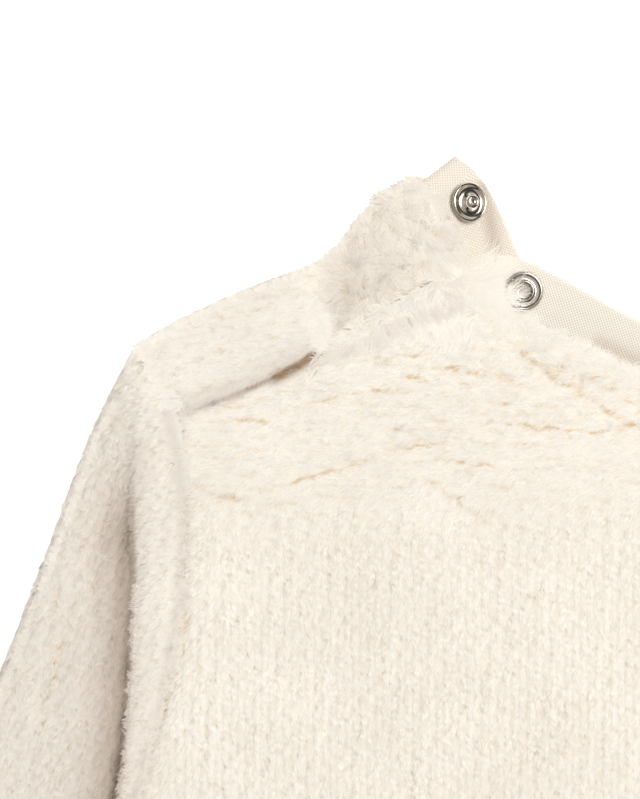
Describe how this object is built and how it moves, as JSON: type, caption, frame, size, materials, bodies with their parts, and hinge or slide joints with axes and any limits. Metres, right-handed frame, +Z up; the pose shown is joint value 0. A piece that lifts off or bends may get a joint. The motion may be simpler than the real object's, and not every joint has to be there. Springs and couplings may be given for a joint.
{
  "type": "fleece pullover",
  "caption": "Child's plush fleece pullover laid flat, long sleeves, forward shoulder seam with one snap placket open at the neck.",
  "frame": {"origin": "on the surface it lies on, under the middle of its bounding box", "axes": "+Z up out of the front, +Y from the hem to the neck, +X towards the wearer's left side"},
  "size_m": [0.5198, 0.3866, 0.0149],
  "materials": {
    "plush": "cream plush fleece, matt",
    "tape": "cream woven cotton tape, matt",
    "snap": "nickel plated, bright"
  },
  "bodies": {
    "root": {"front": "plush", "back": "plush", "shoulder_flap": "plush", "sleeve_right": "plush", "sleeve_left": "plush", "neck_tape_front": "tape", "neck_tape_back": "tape", "snap_stud": "snap", "snap_stud_cap": "snap", "snap_socket": "snap", "snap_socket_cap": "snap"}
  },
  "joints": []
}
